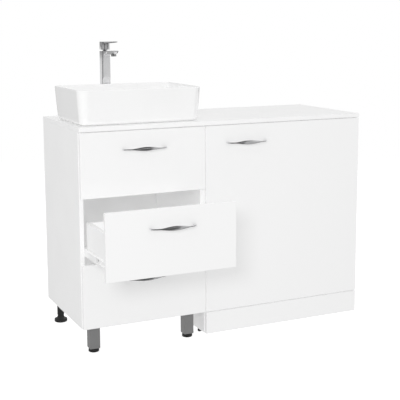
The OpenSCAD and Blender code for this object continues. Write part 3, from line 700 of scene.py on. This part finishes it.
low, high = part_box("basin_seal")
mid = (low + high) / 2
bm = bmesh.new()
rings = []
for inset, z in ((6, low.z), (0.6, low.z), (0, low.z + 0.35 * MM), (0.5, high.z), (6, high.z)):
    rings.append(rect_ring(mid, z, high.x - low.x - 2 * inset * MM, high.y - low.y - 2 * inset * MM,
                           (24 - inset) * MM, 8, 6))
bridge(bm, rings, loop=True)
make("basin_seal_looks", bm, "sealant", "basin_seal")

low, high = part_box("waste_flange")
at = Vector((waste_c.x, waste_c.y, 0))
bm = bmesh.new()
lathe(bm, [(17 * MM, low.z), (20.5 * MM, low.z), (20.5 * MM, high.z - 2.5 * MM),
           (31.4 * MM, high.z - 2.5 * MM), (32 * MM, high.z - 2.0 * MM), (31.6 * MM, high.z - 1.1 * MM),
           (30.2 * MM, high.z - 0.3 * MM), (28.6 * MM, high.z), (21 * MM, high.z),
           (18.5 * MM, high.z - 0.8 * MM), (17.2 * MM, high.z - 2.2 * MM)], at, steps=72)
make("waste_flange_looks", bm, "chrome", "waste_flange")

low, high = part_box("waste_plug")
bm = bmesh.new()
lathe(bm, [(0, low.z), (4.2 * MM, low.z), (5 * MM, low.z + 0.8 * MM), (5 * MM, high.z - 4.1 * MM),
           (27 * MM, high.z - 4 * MM), (27.8 * MM, high.z - 3.6 * MM), (28 * MM, high.z - 2.8 * MM),
           (27.5 * MM, high.z - 1.9 * MM), (25.5 * MM, high.z - 1.1 * MM), (20 * MM, high.z - 0.5 * MM),
           (12 * MM, high.z - 0.12 * MM), (0, high.z)], at, steps=72)
make("waste_plug_looks", bm, "chrome", "waste_plug", angle=50)

# Threaded tail with its back nut, and the star inside that guides the plug
low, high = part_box("waste_body")
nut_z = top_low.z - 12 * MM
profile = [(SOCKET_R, high.z), (SOCKET_R, low.z), (19 * MM, low.z)]
z, crest = low.z + 1 * MM, False        # the thread's flanks
while z < nut_z - 1 * MM:
    profile.append(((20 if crest else 19.1) * MM, z))
    z, crest = z + 1.1 * MM, not crest
profile += [(20 * MM, nut_z), (27 * MM, nut_z), (28 * MM, nut_z + 1 * MM), (28 * MM, nut_z + 11 * MM),
            (27 * MM, top_low.z), (20 * MM, top_low.z), (20 * MM, high.z)]
bm = bmesh.new()
lathe(bm, profile, at, steps=60, flats=(10, 1.2 * MM, 25 * MM))
guide_low, guide_high = high.z - 20 * MM, high.z - 14 * MM
lathe(bm, [(5.2 * MM, guide_low), (8 * MM, guide_low), (8 * MM, guide_high), (5.2 * MM, guide_high)],
      at, steps=32)
for k in range(4):
    a = math.pi / 2 * k
    u, v = Vector((math.cos(a), math.sin(a), 0)), Vector((-math.sin(a), math.cos(a), 0))
    bridge(bm, [[at + u * r * MM + v * s * 1.2 * MM + Vector((0, 0, z)) for s, z in
                 ((-1, guide_low), (1, guide_low), (1, guide_high), (-1, guide_high))]
                for r in (7.6, 16.6)])
make("waste_body_looks", bm, "chrome", "waste_body")


# ---------- trap ----------

pipes_low, pipes_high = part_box("trap_pipes")
trap_low, trap_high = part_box("trap_body")
pipe_y = pipes_low.y + PIPE_R
trap_y = pipes_high.y - PIPE_R
bend, bend_steps = 24 * MM, 12
run_z = pipes_high.z - 48 * MM
x = waste_c.x

# The pipe goes down from the waste, back over the upper drawer and down into the trap.
path = [Vector((x, pipe_y, pipes_high.z)), Vector((x, pipe_y, run_z + bend))]
for k in range(1, bend_steps + 1):
    a = math.pi / 2 * k / bend_steps
    path.append(Vector((x, pipe_y + bend * (1 - math.cos(a)), run_z + bend * (1 - math.sin(a)))))
for k in range(bend_steps + 1):
    a = math.pi / 2 * k / bend_steps
    path.append(Vector((x, trap_y - bend + bend * math.sin(a), run_z - bend * (1 - math.cos(a)))))
path.append(Vector((x, trap_y, pipes_low.z)))
bm = bmesh.new()
tube_along(bm, path, PIPE_R, PIPE_R - 2 * MM, 40)
make("trap_pipes_looks", bm, "white_plastic", "trap_pipes", angle=50)

base_z, neck_z = trap_low.z, trap_high.z - 18 * MM
bm = bmesh.new()
lathe(bm, rounded([(0, base_z), (30 * MM, base_z), (30 * MM, neck_z), (21 * MM, neck_z),
                   (21 * MM, trap_high.z), (SOCKET_R, trap_high.z), (SOCKET_R, neck_z - 6 * MM),
                   (27 * MM, neck_z - 6 * MM), (27 * MM, base_z + 3 * MM), (0, base_z + 3 * MM)],
                  [1 * MM, 5 * MM, 1 * MM, 0.6 * MM, 0.6 * MM, 0.5 * MM, 4 * MM, 1 * MM]),
      (x, trap_y, 0), steps=56)
body = make("trap_body_looks", bm, "white_plastic", "trap_body")
bm = bmesh.new()
reach = trap_high.y - trap_y
lathe(bm, rounded([(SOCKET_R, 22 * MM), (21 * MM, 22 * MM), (21 * MM, reach), (SOCKET_R, reach)],
                  0.6 * MM), (x, trap_y, outlet_z), "Y", steps=56)
make("trap_outlet_looks", bm, "white_plastic", body=BODY_OF["trap_body"])
cut(body, [cylinder((x, trap_y + 5 * MM, outlet_z), (x, trap_y + 40 * MM, outlet_z), SOCKET_R, 56)])

bm = bmesh.new()
for low, high in solids("trap_nuts"):
    mid = (low + high) / 2
    tall_z = high.z - low.z
    across_y = high.y - low.y
    if abs(mid.z - outlet_z) < 1 * MM and across_y < 30 * MM:       # the outlet's nut
        lathe(bm, rounded([(21.3 * MM, 0), (27 * MM, 0), (27 * MM, across_y), (21.3 * MM, across_y)],
                          1 * MM), (x, low.y, outlet_z), "Y", steps=96, flats=(12, 1.4 * MM, 24 * MM))
    elif tall_z < 13 * MM:                                          # the cup under the trap
        lathe(bm, rounded([(0, 0), (32 * MM, 0), (32 * MM, tall_z), (0, tall_z)], 2.5 * MM),
              (x, mid.y, low.z), steps=96, flats=(16, 1.4 * MM, 28 * MM))
    else:                                                           # the two inlet nuts
        upper = mid.y < (pipe_y + trap_y) / 2
        inner, lip = (20.3 * MM, 3 * MM) if upper else (21.3 * MM, 4 * MM)
        outline = [(27 * MM, 0), (27 * MM, tall_z), (SOCKET_R, tall_z), (SOCKET_R, tall_z - lip),
                   (inner, tall_z - lip), (inner, 0)]
        if upper:
            outline = [(r, tall_z - h) for r, h in outline]
        lathe(bm, rounded(outline + outline[:1], 1 * MM)[1:], (x, mid.y, low.z), steps=96,
              flats=(12, 1.4 * MM, 24 * MM))
make("trap_nuts_looks", bm, "white_plastic", "trap_nuts")


# ---------- mixer ----------

body_low, body_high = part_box("mixer_body")
spout_rise = 4.5                            # mm that the spout's tip stands above the column
column_top = body_high.z - spout_rise * MM
axis = Vector((column_c.x, column_c.y, 0))
column_w = body_high.x - body_low.x
column_d = 2 * (body_high.y - column_c.y)


def mixer_body():
    """The column and its spout. The spout's sizes are in mm, from the column's axis and top."""
    bm = bmesh.new()
    rings = []
    for z, inset in ((body_low.z, 0.8), (body_low.z + 0.8 * MM, 0), (column_top - 1.0 * MM, 0),
                     (column_top - 0.3 * MM, 0.3), (column_top, 1.0)):
        rings.append(rect_ring(axis, z, column_w - 2 * inset * MM, column_d - 2 * inset * MM,
                               (5 - inset) * MM, 10, 3))
    bridge(bm, rings)
    obj = make("mixer_body_looks", bm, "chrome", "mixer_body", angle=40)
    root = column_d / 2 / MM                # where the spout leaves the column
    tip = 140

    def section(reach, top, bottom, width):
        """A rounded section, drawn in below like a keel towards the tip."""
        h = top - bottom
        r = min(2.6, h / 2 - 0.05, width / 2 - 0.05)
        keel = 0.6 * min(1.0, max(0.0, (reach - 66) / 40))
        return [axis + Vector((p.x * (1 - keel * (0.5 - p.y / (h * MM))), -reach * MM,
                               column_top + (top + bottom) / 2 * MM + p.y))
                for p in rounded_rect(width * MM, h * MM, r * MM, 8, 4)]

    def bottom_at(reach):
        if reach < root:
            return -18.0
        if reach < root + 30:
            return -18 + 5 * math.sqrt(max(0, 1 - ((root + 30 - reach) / 30) ** 2))
        if reach < 95:
            return -13 + (reach - root - 30) / (65 - root)
        if reach < 129.2:
            return -12 + 2.5 * (reach - 95) / 34.2
        s = (tip - reach) / 10.8
        return -0.5 - 9 * (1 - math.sqrt(max(0, 1 - s * s)))

    rings = []
    for reach in (10, 14, 17, 18, 19.5, 22, 26, 31, 37, 43, 50, 62, 78, 95, 104, 110, 115, 119, 122.5,
                  125.5, 128, 130, 132, 133.8, 135.4, 136.8, 138, 138.9, 139.5, 139.8):
        end = max(0.0, (reach - (tip - 3)) / 3)
        nose = max(0.0, (reach - (tip - 28)) / 28)
        top = spout_rise * (reach - 10) / 130
        rings.append(section(reach, top - 0.9 * end ** 2, bottom_at(reach) + 0.8 * end ** 2,
                             27.6 - 13 * (1 - math.sqrt(max(0, 1 - nose ** 2.4)))))
    spout = bmesh.new()
    bridge(spout, rings)
    combine(obj, spout, "UNION")
    aerator_low, aerator_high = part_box("mixer_aerator")
    c = (aerator_low + aerator_high) / 2
    cut(obj, [cylinder((c.x, c.y, aerator_low.z - 1 * MM), (c.x, c.y, aerator_high.z), 10.7 * MM, 48),
              cylinder(axis + Vector((0, 0, column_top - 34 * MM)), axis + Vector((0, 0, column_top + MM)),
                       13 * MM, 48)])


mixer_body()

low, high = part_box("mixer_base_ring")
bm = bmesh.new()
lathe(bm, [(15.5 * MM, low.z), (25.4 * MM, low.z), (26 * MM, low.z + 0.7 * MM),
           (25.6 * MM, low.z + 2.4 * MM), (24.9 * MM, high.z - 0.5 * MM), (24 * MM, high.z),
           (15.5 * MM, high.z)],
      (column_c.x, column_c.y, 0), steps=72)
make("mixer_base_ring_looks", bm, "chrome", "mixer_base_ring")

low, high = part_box("mixer_aerator")
c = (low + high) / 2
bm = bmesh.new()
lathe(bm, rounded([(0, high.z), (10.5 * MM, high.z), (10.5 * MM, low.z), (8.5 * MM, low.z),
                   (8.5 * MM, low.z + 2 * MM), (0, low.z + 2 * MM)], 0.5 * MM), (c.x, c.y, 0), steps=72,
      flats=(36, 0.35 * MM, 10 * MM))
make("mixer_aerator_looks", bm, "aerator_chrome", "mixer_aerator")
bm = bmesh.new()
rib_z, valley_z = low.z + 1.1 * MM, low.z + 2.0 * MM
profile = [(0, low.z + 2.2 * MM)]
for k in range(5):
    r = 0.8 + 1.5 * k
    profile += [(r * MM, rib_z), ((r + 0.5) * MM, rib_z), ((r + 0.8) * MM, valley_z)]
profile += [(8.5 * MM, low.z + 2.2 * MM), (0, low.z + 2.4 * MM)]
lathe(bm, profile, (c.x, c.y, 0), steps=48)
make("mixer_aerator_grille", bm, "dark_insert", body=BODY_OF["mixer_aerator"])

low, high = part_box("mixer_ball")
pivot_z, ball_r = column_top + 9.5 * MM, 11 * MM
bm = bmesh.new()
profile = [(0, low.z), (12 * MM, low.z), (12 * MM, low.z + 3.2 * MM), (11.2 * MM, low.z + 3.6 * MM)]
ball_low, ball_high = column_top + 0.9 * MM, pivot_z + ball_r
for k in range(16):
    z = ball_low + (ball_high - ball_low) * k / 16
    profile.append((math.sqrt(ball_r ** 2 - (z - pivot_z) ** 2), z))
profile.append((0, ball_high))
lathe(bm, profile, (column_c.x, column_c.y, 0), steps=48)
make("mixer_ball_looks", bm, "chrome", "mixer_ball")


def mixer_lever():
    """The handle's block and its flat blade, hollowed for the ball. The blade's sizes are in mm."""
    low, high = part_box("mixer_lever")
    blade_rise = 2.5
    z0, z1 = low.z, high.z - blade_rise * MM
    bm = bmesh.new()
    rings = []
    for z, inset in ((z0, 0.7), (z0 + 0.7 * MM, 0), (z1 - 1.2 * MM, 0), (z1 - 0.35 * MM, 0.35), (z1, 1.2)):
        rings.append(rect_ring(axis, z, high.x - low.x - 2 * inset * MM,
                               column_d + 2 * MM - 2 * inset * MM, (11 - inset) * MM, 14, 3))
    bridge(bm, rings)
    obj = make("mixer_lever_looks", bm, "chrome", "mixer_lever", angle=40)
    rings = []
    for reach in (2, 10, 17, 19, 23, 30, 45, 62, 80, 98, 108, 113, 116.5, 119, 120.4, 121):
        top = blade_rise * max(0, reach - 17) / 104 - (0.05 if reach < 19 else 0)
        bottom = -7 + 6 * max(0, reach - 17) / 104
        tip = max(0.0, (reach - 113) / 8)
        width = 25 - 7 * (1 - math.sqrt(max(0, 1 - tip ** 2))) - 0.3
        top, bottom = top - 0.7 * tip ** 3, bottom + 0.7 * tip ** 3
        h = top - bottom
        rings.append([axis + Vector((p.x, -reach * MM, z1 + (top + bottom) / 2 * MM + p.y)) for p in
                      rounded_rect(width * MM, h * MM, min(1.5, h / 2 - 0.05) * MM, 6, 4)])
    blade = bmesh.new()
    bridge(blade, rings)
    combine(obj, blade, "UNION")
    socket_r = ball_r + 0.5 * MM
    ball = bmesh.new()
    bmesh.ops.create_uvsphere(ball, u_segments=32, v_segments=20, radius=socket_r,
                              matrix=Matrix.Translation(axis + Vector((0, 0, pivot_z))))
    wedge = bmesh.new()
    outline = [(5, -1), (5, 0.02), (19.5, 6), (19.5, -1)]
    bridge(wedge, [[axis + Vector((x * MM, y * MM, z0 + h * MM)) for y, h in outline]
                   for x in (-30, 30)])
    cut(obj, [ball, cylinder(axis + Vector((0, 0, z0 - MM)), axis + Vector((0, 0, pivot_z)), socket_r, 32),
              wedge])


mixer_lever()

# The two inner parts keep their CAD shape.
for node in ("mixer_cartridge", "mixer_fixing_kit"):
    obj = frame["nodes"][node]
    obj.data.materials.clear()
    obj.data.materials.append(MATERIALS[SLOT_OF[node]])


# ---------- floor, light and camera ----------

def floor():
    """A pale paper disc that fades out, so that the floor has no edge in any view."""
    steps = 96
    bm = bmesh.new()
    rings = [[Vector((r * math.cos(2 * math.pi * i / steps), r * math.sin(2 * math.pi * i / steps), 0))
              for i in range(steps)] for r in (0.01, 0.5, 1.5, 4, 9)]
    bridge(bm, rings, closed_ends=(True, False))
    mesh = bpy.data.meshes.new("floor")
    bmesh.ops.recalc_face_normals(bm, faces=bm.faces)
    bm.to_mesh(mesh)
    bm.free()
    obj = bpy.data.objects.new("floor", mesh)
    bpy.context.scene.collection.objects.link(obj)
    mat, tree, shader = new_material("floor_paper")
    clouds = noise(tree, 1.5, 3.0)
    tree.links.new(colour_between(tree, clouds, grey(0.86), grey(0.90)), shader.inputs["Base Color"])
    shader.inputs["Roughness"].default_value = 0.85
    shader.inputs["Emission Color"].default_value = (1, 1, 1, 1)
    shader.inputs["Emission Strength"].default_value = 0.42
    coord = tree.nodes.new("ShaderNodeTexCoord")
    length = tree.nodes.new("ShaderNodeVectorMath")
    length.operation = "LENGTH"
    tree.links.new(coord.outputs["Object"], length.inputs[0])
    mix = tree.nodes.new("ShaderNodeMixShader")
    clear = tree.nodes.new("ShaderNodeBsdfTransparent")
    fade_from, fade_to = 1.8, 5.0
    tree.links.new(remap(tree, length.outputs["Value"], 0.0, 1.0, fade_from, fade_to), mix.inputs["Fac"])
    tree.links.new(shader.outputs["BSDF"], mix.inputs[1])
    tree.links.new(clear.outputs["BSDF"], mix.inputs[2])
    tree.links.new(mix.outputs["Shader"], tree.nodes["Material Output"].inputs["Surface"])
    mesh.materials.append(mat)
    obj.visible_glossy = False
    obj.visible_diffuse = False


floor()


def studio():
    """The world: white to the camera, an even dome for the light, and for reflections a room with
    light and dark walls above a darker ground. Headings are in degrees from the front (-Y)
    towards +X, and heights are the direction's Z, stretched from -1..1 to 0..1."""
    world = bpy.data.worlds.new("studio")
    bpy.context.scene.world = world
    world.use_nodes = True
    tree = world.node_tree
    coord = tree.nodes.new("ShaderNodeTexCoord")
    split = tree.nodes.new("ShaderNodeSeparateXYZ")
    tree.links.new(coord.outputs["Generated"], split.inputs["Vector"])
    flip = tree.nodes.new("ShaderNodeMath")
    flip.operation = "MULTIPLY"
    flip.inputs[1].default_value = -1
    tree.links.new(split.outputs["Y"], flip.inputs[0])
    azimuth = tree.nodes.new("ShaderNodeMath")
    azimuth.operation = "ARCTAN2"
    tree.links.new(split.outputs["X"], azimuth.inputs[0])
    tree.links.new(flip.outputs["Value"], azimuth.inputs[1])
    around = remap(tree, azimuth.outputs["Value"], 0, 1, -math.pi, math.pi)
    height = remap(tree, split.outputs["Z"], 0, 1, -1, 1)

    def ramp_of(value, stops):
        """A grey ramp: stops is a list of (position, grey)."""
        ramp = tree.nodes.new("ShaderNodeValToRGB")
        els = ramp.color_ramp.elements
        while len(els) < len(stops):
            els.new(0.5)
        for el, (pos, v) in zip(els, stops):
            el.position = pos
            el.color = (v, v, v, 1)
        tree.links.new(value, ramp.inputs["Fac"])
        return ramp.outputs["Color"]

    def ring_of(stops):
        """A ramp round the room: stops is a list of (heading, grey)."""
        return ramp_of(around, [((heading + 180) / 360, v) for heading, v in stops])

    def mixed(factor, a, b):
        node = tree.nodes.new("ShaderNodeMix")
        node.data_type = "RGBA"
        tree.links.new(factor, node.inputs["Factor"])
        for value, name in ((a, "A"), (b, "B")):
            if isinstance(value, tuple):
                node.inputs[name].default_value = value
            else:
                tree.links.new(value, node.inputs[name])
        return node.outputs["Result"]

    def above(start, end, below_it, above_it):
        """Changes from one look to the other between two heights."""
        return mixed(ramp_of(height, [(start, 0.0), (end, 1.0)]), below_it, above_it)

    ground = ring_of([(-180, 0.45), (-130, 0.45), (-110, 0.06), (24.8, 0.12), (26.2, 0.45), (42, 0.45),
                      (56, 0.07), (172, 0.07), (180, 0.45)])
    wall = ring_of([(-180, 0.78), (-130, 0.78), (-98, 0.07), (-58, 0.05), (-48, 1.0), (-28, 1.0),
                    (-14, 0.16), (4, 0.16), (14, 0.70), (60, 0.72), (110, 0.85), (180, 0.50)])
    high_wall = ring_of([(-180, 0.33), (-110, 0.33), (-60, 0.30), (-30, 0.06), (24, 0.08), (34, 0.70),
                         (130, 0.92), (172, 0.92), (180, 0.40)])
    walls = above(0.4825, 0.4845, wall, high_wall)
    room = above(0.458, 0.464, ground, walls)
    dome = ramp_of(height, [(0.44, 0.75), (0.56, 0.67)])
    rays = tree.nodes.new("ShaderNodeLightPath")
    look = mixed(rays.outputs["Is Glossy Ray"], dome, room)
    seen = mixed(rays.outputs["Is Camera Ray"], look, (1, 1, 1, 1))
    tree.links.new(seen, tree.nodes["Background"].inputs["Color"])


studio()


def place_light(name, light, turned, at=(0, 0, 0)):
    """Puts a light in the scene, where neither the camera nor a reflection sees it."""
    obj = bpy.data.objects.new(name, light)
    obj.location = at
    obj.rotation_euler = turned.to_euler()
    obj.visible_camera = False
    obj.visible_glossy = False
    bpy.context.scene.collection.objects.link(obj)


def softbox(name, at, target, width, height, power):
    light = bpy.data.lights.new(name, "AREA")
    light.shape = "RECTANGLE"
    light.size, light.size_y, light.energy = width, height, power
    place_light(name, light, (Vector(target) - Vector(at)).to_track_quat("-Z", "Y"), at)


def even_light(name, heading, height, strength):
    """A sun without shadows, for the flat light of a white studio."""
    light = bpy.data.lights.new(name, "SUN")
    light.energy, light.use_shadow = strength, False
    a, e = math.radians(heading), math.radians(height)
    back = Vector((math.sin(a) * math.cos(e), -math.cos(a) * math.cos(e), math.sin(e)))
    place_light(name, light, back.to_track_quat("Z", "Y"))


softbox("key", (-2.1, -3.1, 1.75), (-0.1, -0.1, 0.55), width=0.9, height=0.7, power=28)
for side, heading, strength in (("front", -12, 0.70), ("left", -90, 0.46), ("right", 100, 0.6),
                                ("back", 180, 0.6)):
    even_light("even_" + side, heading, 20, strength)

pitch, roll, heading = 8.236, 0.233, 25.176     # degrees down, tilted and to the right
camera = bpy.data.cameras.new("camera")
camera.lens, camera.sensor_width, camera.shift_y = 82.9, 36.0, -0.11
eye = bpy.data.objects.new("camera", camera)
eye.location = (-1.5957, -3.2283, 1.2204)
eye.rotation_euler = (math.radians(90 - pitch), math.radians(roll), math.radians(-heading))
bpy.context.scene.collection.objects.link(eye)
bpy.context.scene.camera = eye
bpy.context.scene.view_settings.view_transform = "Standard"
